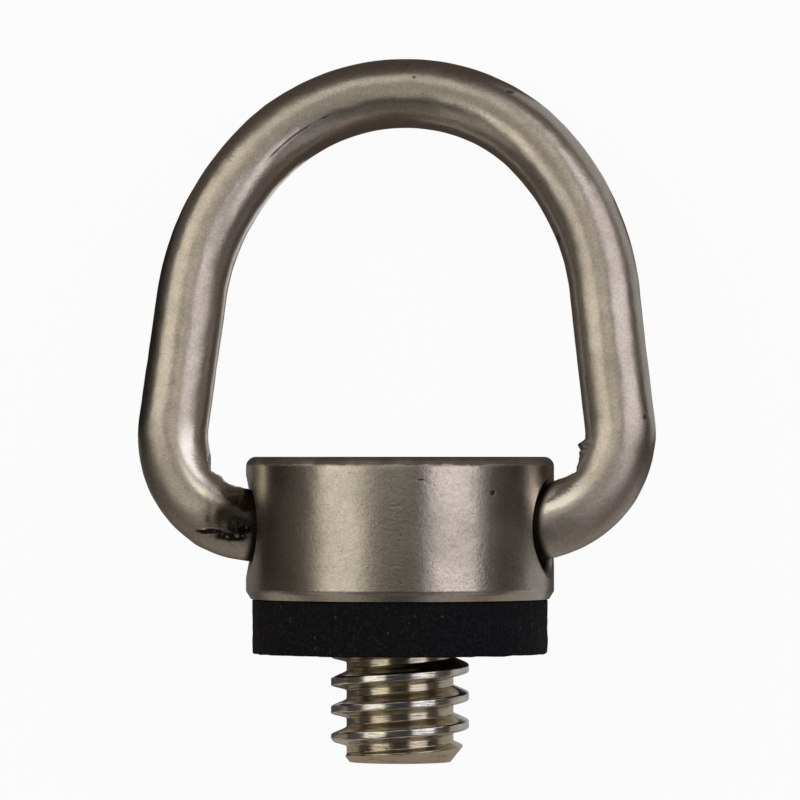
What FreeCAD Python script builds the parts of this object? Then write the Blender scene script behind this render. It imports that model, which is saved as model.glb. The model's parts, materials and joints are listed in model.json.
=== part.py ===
"""A tripod screw with a swinging D-ring, lying on its side as it comes to rest.

The screw's axis runs along Y: the thread points to -Y and the ring lies towards +Y, dropped about
its hinge until its crown meets the surface that the head lies on. The hinge runs along X, through the
head's cross-hole. The origin is on the screw's axis, in the plane where the washer seats on a camera.
"""

import FreeCAD, Part
import math
import os
import Sketcher

# Driving sizes, in millimetres and degrees, with what each one measures.
DRIVING_SIZES = [
    ("head_diameter", 14.0, "turned head, across its wall"),
    ("head_height", 6.45, "turned head, along the screw"),
    ("head_crown_round", 0.45, "rounding of the head's upper edge"),
    ("head_foot_chamfer_depth", 0.22, "chamfer of the head's lower edge, across the screw"),
    ("head_foot_chamfer_height", 0.35, "chamfer of the head's lower edge, along the screw"),
    ("hinge_height", 3.3, "axis of the cross-hole above the head's lower face"),
    ("hinge_offset", 1.1, "axis of the cross-hole above the screw's axis as the part lies"),
    ("mouth_diameter", 4.4, "cross-hole where it meets the head's wall"),
    ("washer_inset", 0.275, "from the head's wall in to the rubber washer's edge, all round"),
    ("washer_thickness", 2.5, "rubber washer, and the neck that holds it"),
    ("neck_diameter", 4.76, "relief neck under the head"),
    ("washer_clearance", 0.05, "between the neck and the washer's hole, all round"),
    ("thread_diameter", 6.27, "thread over its crests"),
    ("thread_root_diameter", 4.86, "thread at its roots"),
    ("thread_pitch", 1.27, "from one crest to the next"),
    ("thread_crest_flat", 0.38, "flat on top of each crest"),
    ("thread_upper_flank", 0.3, "slope of each crest towards the washer, along the screw"),
    ("thread_lower_flank", 0.15, "slope of each crest towards the tip, along the screw"),
    ("thread_first_groove", 1.22, "from the washer to the middle of the first groove, on the +X side"),
    ("thread_length", 4.9, "stud, from the washer to its tip"),
    ("tip_diameter", 4.6, "flat end of the stud"),
    ("tip_taper_length", 1.05, "tapered lead of the stud"),
    ("wire_diameter", 3.2, "round wire of the D-ring"),
    ("ring_reach", 21.0, "hinge axis to the wire's middle at the crown"),
    ("ring_slide", 0.2, "how far the loose ring lies off the middle, towards -X"),
    ("crown_radius", 8.57, "wire's middle round the crown"),
    ("crown_half_angle", 47.8, "how far the crown's arc goes to each side"),
    ("shoulder_radius", 12.36, "wire's middle round each shoulder"),
    ("bend_radius", 4.41, "wire's middle round each lower bend"),
    ("bend_inset", 1.2, "how far inside the head's wall each bend ends"),
    ("pin_length", 2.5, "straight end of the wire inside the cross-hole"),
    ("pin_end_chamfer", 0.3, "edge of the wire's cut ends"),
    ("pin_clearance", 0.1, "between the wire and the cross-hole, all round"),
]


class Size:
    """A length or an angle that knows its value and how the document's sheet works it out."""

    def __init__(self, value, text):
        self.value = value
        self.text = text

    def __add__(self, other):
        other = as_size(other)
        return Size(self.value + other.value, f"({self.text} + {other.text})")

    def __sub__(self, other):
        other = as_size(other)
        return Size(self.value - other.value, f"({self.text} - {other.text})")

    def __mul__(self, other):
        other = as_size(other)
        return Size(self.value * other.value, f"({self.text} * {other.text})")

    def __truediv__(self, other):
        other = as_size(other)
        return Size(self.value / other.value, f"({self.text} / {other.text})")

    def __neg__(self):
        return Size(-self.value, f"(-{self.text})")


def as_size(number):
    """A plain number, as a size."""
    return number if isinstance(number, Size) else Size(number, repr(number))


def sine(angle):
    """Sine of an angle in degrees."""
    return Size(math.sin(math.radians(angle.value)), f"sin({angle.text} * 1 deg)")


def arcsine(ratio):
    """Angle in degrees whose sine is the ratio."""
    return Size(math.degrees(math.asin(ratio.value)), f"asin({ratio.text}) / 1 deg")


def make_sheet(doc):
    """The sheet of driving sizes, and each of them as a Size."""
    sheet = doc.addObject("Spreadsheet::Sheet", "Sizes")
    sizes = {}
    for row, (name, value, meaning) in enumerate(DRIVING_SIZES, start=1):
        sheet.set(f"A{row}", name)
        sheet.set(f"B{row}", str(value))
        sheet.set(f"C{row}", meaning)
        sheet.setAlias(f"B{row}", name)
        sizes[name] = Size(value, f"Sizes.{name}")
    doc.recompute()
    return sizes


def make_body(doc, name):
    """An empty body, whose label names its file."""
    body = doc.addObject("PartDesign::Body", name)
    body.Label = name
    return body


def origin_part(body, role):
    """One of the body's own origin planes or axes."""
    return next(part for part in body.Origin.OriginFeatures if part.Role == role)


def sketch_on(body, name, plane):
    """An empty sketch on one of the body's origin planes."""
    sketch = body.newObject("Sketcher::SketchObject", name)
    sketch.AttachmentSupport = (origin_part(body, plane), [""])
    sketch.MapMode = "FlatFace"
    return sketch


def hold(sketch, name, kind, *target, size):
    """Add a dimension to the sketch and tie it to the sheet."""
    index = sketch.addConstraint(Sketcher.Constraint(kind, *target, size.value))
    sketch.renameConstraint(index, name)
    sketch.setExpression(f"Constraints.{name}", size.text)


def draw_polygon(sketch, corners):
    """A closed outline of straight lines with each corner held at its place across and along."""
    places = [FreeCAD.Vector(across.value, along.value, 0) for across, along in corners]
    lines = range(len(places))
    for line in lines:
        sketch.addGeometry(Part.LineSegment(places[line - 1], places[line]))
    for line, (across, along) in zip(lines, corners):
        following = (line + 1) % len(places)
        sketch.addConstraint(Sketcher.Constraint("Coincident", line, 2, following, 1))
        hold(sketch, f"across_{line}", "DistanceX", -1, 1, line, 2, size=across)
        hold(sketch, f"along_{line}", "DistanceY", -1, 1, line, 2, size=along)


def draw_circle(sketch, radius):
    """A circle round the sketch's origin."""
    sketch.addGeometry(Part.Circle(FreeCAD.Vector(), FreeCAD.Vector(0, 0, 1), radius.value))
    sketch.addConstraint(Sketcher.Constraint("Coincident", 0, 3, -1, 1))
    hold(sketch, "radius", "Radius", 0, size=radius)


def round_edges(shape, radius, place):
    """Names of the shape's circular edges with this radius whose middle passes the test of place."""
    names = []
    for number, edge in enumerate(shape.Edges, start=1):
        circle = edge.Curve
        if isinstance(circle, Part.Circle) and math.isclose(circle.Radius, radius.value, abs_tol=1e-6):
            if place(circle.Center):
                names.append(f"Edge{number}")
    return names


def turn_blank(body, sizes):
    """Head, neck and stud turned in one piece."""
    nothing = Size(0.0, "0")
    head_radius = sizes["head_diameter"] / 2
    neck_radius = sizes["neck_diameter"] / 2
    thread_radius = sizes["thread_diameter"] / 2
    head_top = sizes["washer_thickness"] + sizes["head_height"]
    tip = -sizes["thread_length"]
    sketch = sketch_on(body, "turned_profile", "XY_Plane")
    draw_polygon(sketch, [
        (nothing, head_top),
        (head_radius, head_top),
        (head_radius, sizes["washer_thickness"]),
        (neck_radius, sizes["washer_thickness"]),
        (neck_radius, nothing),
        (thread_radius, nothing),
        (thread_radius, tip + sizes["tip_taper_length"]),
        (sizes["tip_diameter"] / 2, tip),
        (nothing, tip),
    ])
    turned = body.newObject("PartDesign::Revolution", "turned")
    turned.Profile = sketch
    turned.ReferenceAxis = (sketch, ["V_Axis"])
    turned.Angle = 360.0
    body.Document.recompute()

    crown = body.newObject("PartDesign::Fillet", "head_crown")
    crown.Base = (turned, round_edges(turned.Shape, head_radius, lambda at: at.y > head_top.value - 1e-6))
    crown.setExpression("Radius", sizes["head_crown_round"].text)
    body.Document.recompute()

    foot_height = sizes["washer_thickness"].value
    foot = body.newObject("PartDesign::Chamfer", "head_foot")
    foot.Base = (crown, round_edges(crown.Shape, head_radius, lambda at: abs(at.y - foot_height) < 1e-6))
    foot.ChamferType = "Two distances"
    foot.setExpression("Size", sizes["head_foot_chamfer_height"].text)
    foot.setExpression("Size2", sizes["head_foot_chamfer_depth"].text)
    body.Document.recompute()


def drill_cross_hole(body, sizes):
    """Hole through the head for the ring's ends, opening out at both mouths to clear its bends."""
    head_radius = sizes["head_diameter"] / 2
    hinge = sizes["washer_thickness"] + sizes["hinge_height"]
    bore_radius = sizes["wire_diameter"] / 2 + sizes["pin_clearance"]
    mouth_radius = sizes["mouth_diameter"] / 2
    mouth_depth = sizes["bend_inset"] + sizes["ring_slide"]
    straight = head_radius - mouth_depth
    # Each mouth's cone goes on past the wall at the same slope.
    past_wall = head_radius + mouth_depth
    past_mouth = mouth_radius * 2 - bore_radius
    sketch = sketch_on(body, "cross_hole_profile", "XY_Plane")
    sketch.setExpression("AttachmentOffset.Base.z", sizes["hinge_offset"].text)
    draw_polygon(sketch, [
        (-past_wall, hinge),
        (-past_wall, hinge + past_mouth),
        (-straight, hinge + bore_radius),
        (straight, hinge + bore_radius),
        (past_wall, hinge + past_mouth),
        (past_wall, hinge),
    ])
    hole = body.newObject("PartDesign::Groove", "cross_hole")
    hole.Profile = sketch
    hole.ReferenceAxis = (sketch, ["Edge1"])
    hole.Angle = 360.0
    body.Document.recompute()


def cut_thread(body, sizes):
    """Right-hand thread: one groove, wound from below the tip to the neck."""
    thread_radius = sizes["thread_diameter"] / 2
    root_radius = sizes["thread_root_diameter"] / 2
    depth = thread_radius - root_radius
    pitch = sizes["thread_pitch"]
    upper_flank = sizes["thread_upper_flank"]
    lower_flank = sizes["thread_lower_flank"]
    half_root = (pitch - sizes["thread_crest_flat"] - upper_flank - lower_flank) / 2
    # The cutter's sides go on past the crests at the same slope, and it starts clear of the tip.
    past_crest = 1.25
    cutter_radius = root_radius + depth * past_crest
    turns_to_tip = math.ceil(sizes["thread_length"].value / pitch.value)
    start = -(sizes["thread_first_groove"] + pitch * turns_to_tip)
    sketch = sketch_on(body, "thread_groove", "XY_Plane")
    draw_polygon(sketch, [
        (root_radius, start + half_root),
        (root_radius, start - half_root),
        (cutter_radius, start - half_root - upper_flank * past_crest),
        (cutter_radius, start + half_root + lower_flank * past_crest),
    ])
    thread = body.newObject("PartDesign::SubtractiveHelix", "thread")
    thread.Profile = sketch
    thread.ReferenceAxis = (sketch, ["V_Axis"])
    thread.Mode = 0
    thread.setExpression("Pitch", pitch.text)
    thread.setExpression("Height", (sizes["washer_thickness"] / 2 - start).text)
    thread.LeftHanded = False
    thread.Reversed = False
    body.Document.recompute()


def make_screw(doc, sizes):
    """Head and stud in one piece, with the cross-hole and the thread."""
    body = make_body(doc, "screw")
    turn_blank(body, sizes)
    drill_cross_hole(body, sizes)
    cut_thread(body, sizes)
    return body


def make_washer(doc, sizes):
    """Flat rubber washer round the neck, between the head and the thread."""
    body = make_body(doc, "rubber_washer")
    hole_radius = sizes["neck_diameter"] / 2 + sizes["washer_clearance"]
    edge_radius = sizes["head_diameter"] / 2 - sizes["washer_inset"]
    nothing = Size(0.0, "0")
    sketch = sketch_on(body, "washer_profile", "XY_Plane")
    draw_polygon(sketch, [
        (hole_radius, nothing),
        (edge_radius, nothing),
        (edge_radius, sizes["washer_thickness"]),
        (hole_radius, sizes["washer_thickness"]),
    ])
    washer = body.newObject("PartDesign::Revolution", "washer")
    washer.Profile = sketch
    washer.ReferenceAxis = (sketch, ["V_Axis"])
    washer.Angle = 360.0
    doc.recompute()
    return body


def draw_arc(sketch, middle, radius, start, end):
    """An arc between two angles in radians. Returns its number in the sketch."""
    circle = Part.Circle(FreeCAD.Vector(*middle, 0), FreeCAD.Vector(0, 0, 1), radius)
    return sketch.addGeometry(Part.ArcOfCircle(circle, start, end))


def draw_line(sketch, start, end):
    """A straight line. Returns its number in the sketch."""
    return sketch.addGeometry(Part.LineSegment(FreeCAD.Vector(*start, 0), FreeCAD.Vector(*end, 0)))


def draw_ring_line(sketch, sizes):
    """The wire's middle line: crown, then on each side a shoulder, a leg, a bend and a pin."""
    head_radius = sizes["head_diameter"] / 2
    crown_radius = sizes["crown_radius"]
    shoulder_radius = sizes["shoulder_radius"]
    bend_radius = sizes["bend_radius"]
    crown_middle = sizes["ring_reach"] - crown_radius
    crown_end = crown_radius * sine(sizes["crown_half_angle"])
    bend_middle = head_radius - sizes["bend_inset"]
    pin_end = bend_middle - sizes["pin_length"]

    # The leg is the straight line that touches both the shoulder's circle and the bend's circle.
    turn = math.radians(sizes["crown_half_angle"].value)
    step_in = crown_radius.value - shoulder_radius.value
    shoulder_x = step_in * math.sin(turn)
    shoulder_y = crown_middle.value + step_in * math.cos(turn)
    rise = shoulder_y - bend_radius.value
    run = shoulder_x - bend_middle.value
    spread = math.acos((bend_radius.value - shoulder_radius.value) / math.hypot(run, rise))
    lean = math.atan2(rise, run) - spread
    upright = math.pi / 2

    crown = draw_arc(sketch, (0, crown_middle.value), crown_radius.value, upright - turn, upright + turn)
    sketch.addConstraint(Sketcher.Constraint("PointOnObject", crown, 3, -2))
    hold(sketch, "crown_radius", "Radius", crown, size=crown_radius)
    hold(sketch, "crown_middle", "DistanceY", -1, 1, crown, 3, size=crown_middle)

    for side, name in ((1, "right"), (-1, "left")):
        def mirrored(start, end):
            """Angles of an arc on this side, in the order that the sketch draws them."""
            return (start, end) if side > 0 else (math.pi - end, math.pi - start)

        def touching(middle_x, middle_y, radius):
            """Where the leg touches a circle."""
            return side * (middle_x + radius * math.cos(lean)), middle_y + radius * math.sin(lean)

        upper, lower = (2, 1) if side > 0 else (1, 2)
        shoulder = draw_arc(
            sketch, (side * shoulder_x, shoulder_y), shoulder_radius.value, *mirrored(lean, upright - turn)
        )
        leg = draw_line(
            sketch,
            touching(shoulder_x, shoulder_y, shoulder_radius.value),
            touching(bend_middle.value, bend_radius.value, bend_radius.value),
        )
        bend = draw_arc(
            sketch,
            (side * bend_middle.value, bend_radius.value),
            bend_radius.value,
            *mirrored(-upright, lean),
        )
        pin = draw_line(sketch, (side * bend_middle.value, 0), (side * pin_end.value, 0))
        sketch.addConstraint([
            Sketcher.Constraint("Tangent", crown, lower, shoulder, upper),
            Sketcher.Constraint("Tangent", shoulder, lower, leg, 1),
            Sketcher.Constraint("Tangent", leg, 2, bend, upper),
            Sketcher.Constraint("Tangent", bend, lower, pin, 1),
            Sketcher.Constraint("PointOnObject", pin, 1, -1),
            Sketcher.Constraint("PointOnObject", pin, 2, -1),
        ])
        hold(sketch, f"{name}_crown_end", "DistanceX", -1, 1, crown, lower, size=crown_end * side)
        hold(sketch, f"{name}_shoulder_radius", "Radius", shoulder, size=shoulder_radius)
        hold(sketch, f"{name}_bend_radius", "Radius", bend, size=bend_radius)
        hold(sketch, f"{name}_bend_middle", "DistanceX", -1, 1, bend, 3, size=bend_middle * side)
        hold(sketch, f"{name}_pin_end", "DistanceX", -1, 1, pin, 2, size=pin_end * side)


def make_ring(doc, sizes):
    """D-ring bent from round wire, dropped about its hinge until its crown lies as low as the head."""
    body = make_body(doc, "d_ring")
    wire_radius = sizes["wire_diameter"] / 2
    head_radius = sizes["head_diameter"] / 2
    pin_end = head_radius - sizes["bend_inset"] - sizes["pin_length"]
    line = sketch_on(body, "wire_line", "XY_Plane")
    draw_ring_line(line, sizes)
    section = sketch_on(body, "wire_section", "YZ_Plane")
    section.setExpression("AttachmentOffset.Base.z", pin_end.text)
    draw_circle(section, wire_radius)
    doc.recompute()
    wire = body.newObject("PartDesign::AdditivePipe", "wire")
    wire.Profile = section
    wire.Spine = line
    doc.recompute()

    ends = body.newObject("PartDesign::Chamfer", "wire_ends")
    ends.Base = (wire, round_edges(
        wire.Shape, wire_radius, lambda at: math.isclose(abs(at.x), pin_end.value, abs_tol=1e-6)
    ))
    ends.setExpression("Size", sizes["pin_end_chamfer"].text)
    doc.recompute()

    drop = arcsine((head_radius + sizes["hinge_offset"] - wire_radius) / sizes["ring_reach"])
    body.Placement.Rotation = FreeCAD.Rotation(FreeCAD.Vector(-1, 0, 0), drop.value)
    body.setExpression("Placement.Rotation.Angle", drop.text)
    body.setExpression("Placement.Base.x", (-sizes["ring_slide"]).text)
    body.setExpression("Placement.Base.y", (sizes["washer_thickness"] + sizes["hinge_height"]).text)
    body.setExpression("Placement.Base.z", sizes["hinge_offset"].text)
    doc.recompute()
    return body


def check(doc, bodies):
    """Stop if anything in the document failed or a sub-part has no sound shape."""
    for thing in doc.Objects:
        if {"Invalid", "Error"} & set(thing.State):
            raise RuntimeError(f"{thing.Name} failed: {thing.State}")
    for body in bodies:
        if body.Shape.isNull() or not body.Shape.isValid():
            raise RuntimeError(f"{body.Label} has no sound shape")


def main():
    doc = FreeCAD.newDocument("tripod_screw")
    sizes = make_sheet(doc)
    bodies = [make_screw(doc, sizes), make_washer(doc, sizes), make_ring(doc, sizes)]
    doc.recompute()
    check(doc, bodies)
    os.makedirs("parts", exist_ok=True)
    for body in bodies:
        box = body.Shape.BoundBox
        print(f"{body.Label}: {body.Shape.Volume:.3f} mm3, {len(body.Shape.Solids)} solid,"
              f" X {box.XMin:.2f} to {box.XMax:.2f}, Y {box.YMin:.2f} to {box.YMax:.2f},"
              f" Z {box.ZMin:.2f} to {box.ZMax:.2f}")
        body.Shape.exportStep(f"parts/{body.Label}.step")


main()
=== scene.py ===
"""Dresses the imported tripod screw: nickel head and ring, cut thread, rubber washer and a pale stage."""

import json
import math
from typing import NamedTuple

import bmesh
import bpy
import numpy as np
from bpy.props import FloatProperty, FloatVectorProperty, PointerProperty
from mathutils import Matrix, Vector


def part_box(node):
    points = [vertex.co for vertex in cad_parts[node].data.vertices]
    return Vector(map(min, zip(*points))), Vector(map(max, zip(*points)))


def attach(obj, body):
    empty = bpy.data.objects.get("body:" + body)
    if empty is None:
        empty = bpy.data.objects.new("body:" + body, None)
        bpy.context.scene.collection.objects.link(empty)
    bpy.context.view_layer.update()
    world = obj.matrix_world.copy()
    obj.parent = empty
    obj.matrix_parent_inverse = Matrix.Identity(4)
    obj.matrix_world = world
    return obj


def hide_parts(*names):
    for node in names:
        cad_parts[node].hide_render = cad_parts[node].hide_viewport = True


bl_info = {
    "name": "Tripod Screw",
    "version": (1, 0, 0),
    "blender": (4, 5, 0),
    "location": "3D View > Sidebar > Tripod Screw",
    "description": "Builds the pieces, finishes and stage of a tripod screw with a D-ring",
    "category": "Object",
}

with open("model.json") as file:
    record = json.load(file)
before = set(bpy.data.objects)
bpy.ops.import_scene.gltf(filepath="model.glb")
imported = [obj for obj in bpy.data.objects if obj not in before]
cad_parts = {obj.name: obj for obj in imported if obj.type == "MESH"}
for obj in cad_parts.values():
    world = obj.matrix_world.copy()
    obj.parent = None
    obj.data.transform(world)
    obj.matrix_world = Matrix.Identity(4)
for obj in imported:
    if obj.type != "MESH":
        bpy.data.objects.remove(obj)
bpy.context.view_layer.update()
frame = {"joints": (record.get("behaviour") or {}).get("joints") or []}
SCREW_LOW, SCREW_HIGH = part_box("screw")
WASHER_LOW, WASHER_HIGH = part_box("rubber_washer")
RING_LOW, RING_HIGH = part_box("d_ring")
HINGE = Vector(frame["joints"][0]["pos_m"])
WIRE_RADIUS = HINGE.y - RING_LOW.y
RING_RISE = RING_HIGH.y - HINGE.y - WIRE_RADIUS
RING_FALL = HINGE.z - RING_LOW.z - WIRE_RADIUS

MM = 0.001
# Mesh attributes that carry the wire's wear, painted shade and painted highlight to its finish.
WEAR_AND_PAINTED_LIGHT = ("beaten", "scuffed", "rubbed", "seam")


# Sizes and colours


def length(name, description, default):
    """A length property, in metres."""
    return FloatProperty(
        name=name, description=description, default=default,
        unit="LENGTH", subtype="DISTANCE", precision=5,
    )


def rotation(name, description, default):
    """An angle property, in radians."""
    return FloatProperty(name=name, description=description, default=default, subtype="ANGLE")


def colour(name, description, default):
    """A colour property."""
    return FloatVectorProperty(
        name=name, description=description, default=default, subtype="COLOR", min=0.0, max=1.0
    )


class ScrewSizes(bpy.types.PropertyGroup):
    """Turned head, cross-hole and threaded stud."""

    head_radius: length("Head radius", "Turned head, from its axis to its wall", SCREW_HIGH.x)
    head_top: length("Head top", "Top face above the camera's seat", SCREW_HIGH.y)
    head_foot: length("Head foot", "Lower face above the camera's seat", WASHER_HIGH.y)
    crown_round: length("Crown round", "Rounding of the head's upper edge", 0.45 * MM)
    chamfer_height: length("Chamfer height", "Lower edge's chamfer, along the screw", 0.35 * MM)
    chamfer_depth: length("Chamfer depth", "Lower edge's chamfer, across the screw", 0.22 * MM)
    hinge_height: length("Hinge height", "Cross-hole's axis above the camera's seat", HINGE.y)
    hinge_offset: length("Hinge offset", "Cross-hole's axis beside the screw's axis", HINGE.z)
    bore_radius: length("Bore radius", "Cross-hole between its mouths", 1.7 * MM)
    mouth_radius: length("Mouth radius", "Cross-hole where it meets the head's wall", 2.2 * MM)
    mouth_depth: length("Mouth depth", "How far in the mouths are tapered", 1.4 * MM)
    rim_round: length("Rim round", "Rounding of the mouths' edges", 0.26 * MM)
    neck_radius: length("Neck radius", "Relief neck inside the washer", 2.38 * MM)
    thread_radius: length("Thread radius", "Thread over its crests", 3.135 * MM)
    root_radius: length("Root radius", "Thread at its roots", 2.43 * MM)
    pitch: length("Pitch", "From one crest to the next", 1.27 * MM)
    crest_flat: length("Crest flat", "Flat on top of each crest", 0.38 * MM)
    upper_flank: length("Upper flank", "Slope of each crest towards the washer", 0.30 * MM)
    lower_flank: length("Lower flank", "Slope of each crest towards the tip", 0.15 * MM)
    first_groove: length("First groove", "First groove below the seat, on the right", 1.22 * MM)
    thread_ease: length("Thread ease", "Softness of the thread's edges", 0.11 * MM)
    tip: length("Tip", "Flat end of the stud", SCREW_LOW.y)
    tip_radius: length("Tip radius", "Flat end's radius", 2.3 * MM)
    tip_taper: length("Tip taper", "Length of the stud's tapered lead", 1.05 * MM)


class WasherSizes(bpy.types.PropertyGroup):
    """Rubber washer cut from sheet."""

    edge_radius: length("Edge radius", "Outside of the washer", WASHER_HIGH.x)
    hole_radius: length("Hole radius", "Hole round the screw's neck", 2.43 * MM)
    lower_face: length("Lower face", "Face that meets the camera", WASHER_LOW.y)
    upper_face: length("Upper face", "Face that meets the head", WASHER_HIGH.y)
    edge_wear: length("Edge wear", "Rounding of the cut edges", 0.10 * MM)
    cut_wander: length("Cut wander", "Unevenness of the cut", 0.05 * MM)


class RingSizes(bpy.types.PropertyGroup):
    """D-ring bent from round wire."""

    wire_radius: length("Wire radius", "Round wire of the ring", WIRE_RADIUS)
    reach: length("Reach", "Hinge to the wire's middle at the crown", math.hypot(RING_RISE, RING_FALL))
    drop: rotation(
        "Drop", "How far the ring has swung down to the surface it lies on",
        math.atan2(RING_FALL, RING_RISE),
    )
    slide: length("Slide", "How far the loose ring lies to the left", -(RING_LOW.x + RING_HIGH.x) / 2)
    crown_radius: length("Crown radius", "Wire's middle round the crown", 8.57 * MM)
    crown_half_angle: rotation(
        "Crown half angle", "How far the crown's arc goes to each side", math.radians(47.8)
    )
    shoulder_radius: length("Shoulder radius", "Wire's middle round each shoulder", 12.36 * MM)
    bend_radius: length("Bend radius", "Wire's middle round each lower bend", 4.41 * MM)
    bend_inset: length("Bend inset", "How far inside the head's wall each bend ends", 1.2 * MM)
    pin_length: length("Pin length", "Straight end of the wire inside the cross-hole", 2.5 * MM)
    pin_chamfer: length("Pin chamfer", "Edge of the wire's cut ends", 0.3 * MM)
    wander: length("Wander", "Unevenness of the bent wire", 0.012 * MM)
    lean: length("Lean", "How far the arch is bent to the left, between bends and crown", 0.08 * MM)


class FinishColours(bpy.types.PropertyGroup):
    """Colours of the surfaces, the lights and the cards."""

    nickel: colour("Nickel", "Bright grains of the satin nickel plate", (0.655, 0.59, 0.51))
    nickel_worn: colour("Worn nickel", "Dull grains and clouds of the plate", (0.42, 0.365, 0.31))
    grime: colour("Grime", "Specks and scratches in the plate", (0.10, 0.085, 0.07))
    # Painted shade in the cross-hole and on the wire where it goes in.
    hole: colour("Hole", "Bare metal and dirt in the cross-hole", (0.022, 0.017, 0.013))
    # Painted highlight at the right root and on the left bend.
    rubbed: colour("Rubbed", "Plate rubbed bright at the right root and the left bend", (0.90, 0.85, 0.77))
    # Painted dark reflection on the rounding of the head's upper edge.
    dark_edge_reflection: colour("Tarnish", "Dull plate on the head's upper edge", (0.17, 0.135, 0.122))
    beaten: colour("Beaten", "Plate where the wire was beaten", (0.24, 0.19, 0.145))
    stain: colour("Stain", "Brown stain round the burnt spot", (0.030, 0.022, 0.018))
    burnt: colour("Burnt", "Dark spot where the ring's left end enters the head", (0.030, 0.024, 0.021))
    thread: colour("Thread", "Bright crests of the cut thread", (0.80, 0.76, 0.69))
    thread_root: colour("Thread root", "Golden roots of the cut thread", (0.64, 0.56, 0.42))
    rubber: colour("Rubber", "Black rubber", (0.0038, 0.0038, 0.0054))
    rubber_dust: colour("Rubber dust", "Pale grains of the rubber", (0.024, 0.023, 0.025))
    rubber_specks: colour("Rubber specks", "Brown specks on the rubber", (0.10, 0.075, 0.045))
    floor: colour("Floor", "Pale floor", (0.86, 0.86, 0.86))
    warm_light: colour("Warm light", "Softboxes on the left, above and below", (1.0, 0.965, 0.86))
    cool_light: colour("Cool light", "Softboxes on the right", (0.98, 0.945, 1.0))
    side_card: colour("Side card", "Dark cards on the left and right", (0.012, 0.011, 0.010))
    crown_card: colour("Crown card", "Brown cards round the ring and the thread", (0.075, 0.062, 0.053))
    thread_card: colour("Thread card", "Greyer cards beyond the thread", (0.34, 0.31, 0.275))
    stud_card: colour("Stud card", "Pale cards on the right of the part", (0.42, 0.42, 0.43))
    right_card: colour("Right card", "Grey cards left of the left bend and far right", (0.18, 0.175, 0.18))


class StageSizes(bpy.types.PropertyGroup):
    """Floor, lights, cards and camera."""

    camera_distance: length("Camera distance", "Camera above the screw's axis", 0.300)
    camera_turn: rotation("Camera turn", "Camera's turn to the right about the screw", math.radians(4.5))
    camera_height: length("Camera height", "Camera's place along the screw", 9.03 * MM)
    aim_height: length("Aim height", "Where along the screw the camera aims", 11.53 * MM)
    view_width: length("View width", "What the picture takes in at the screw's axis", 36.36 * MM)
    light_distance: length("Light distance", "Softboxes from the part", 0.35)
    light_radiance: FloatProperty(
        name="Light radiance", description="Brightness of the softboxes", default=1.24
    )
    world_strength: FloatProperty(
        name="World strength", description="Light from all round", default=0.03
    )
    floor_glow: FloatProperty(
        name="Floor glow", description="Share of plain white in the floor as it is seen", default=0.95,
        subtype="FACTOR", min=0.0, max=1.0,
    )


class TripodScrewSettings(bpy.types.PropertyGroup):
    """All that a user would change."""

    screw: PointerProperty(type=ScrewSizes, name="Screw", description="Head, cross-hole and stud")
    washer: PointerProperty(type=WasherSizes, name="Washer", description="Rubber washer")
    ring: PointerProperty(type=RingSizes, name="Ring", description="D-ring of bent wire")
    colours: PointerProperty(
        type=FinishColours, name="Colours", description="Surfaces, lights and cards"
    )
    stage: PointerProperty(
        type=StageSizes, name="Stage", description="Floor, lights, cards and camera"
    )


# Finishes

# Share of a speck's size that is fully dark.
SPECK_CORE = 0.4
# How far marks cover what is under them, from 0 to 1.
PIT_COVER = 0.7
MARK_COVER = 0.8
DIE_LINE_COVER = 0.85
FLECK_COVER = 0.55
# Scuffed bends are darker by this share of the dull plate, as painted shade.
SCUFF_SHADE_COVER = 0.25
TORN_COVER = 0.85
STAIN_COVER = 0.97
NICK_COVER = 0.5
RUBBER_SPECK_COVER = 0.8
# How ragged the sides of spots are, in radii, and the side of the painted dark reflection on the head's
# upper edge.
MARK_RAGGED = 0.5
BURNT_RAGGED = 0.7
STAIN_RAGGED = 0.9
EDGE_REFLECTION_RAGGED = 0.2 * MM
# Heights of the burnt and the stained crust, against the plate's own relief.
BURNT_CRUST = 6.0
STAINED_CRUST = 3.6


class Field:
    """A shader value that takes part in Python expressions by adding Math nodes to its finish."""

    def __init__(self, finish, socket):
        self.finish = finish
        self.socket = socket

    def __add__(self, other):
        return self.finish.math("ADD", self, other)

    __radd__ = __add__

    def __sub__(self, other):
        return self.finish.math("SUBTRACT", self, other)

    def __rsub__(self, other):
        return self.finish.math("SUBTRACT", other, self)

    def __mul__(self, other):
        return self.finish.math("MULTIPLY", self, other)

    __rmul__ = __mul__


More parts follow.
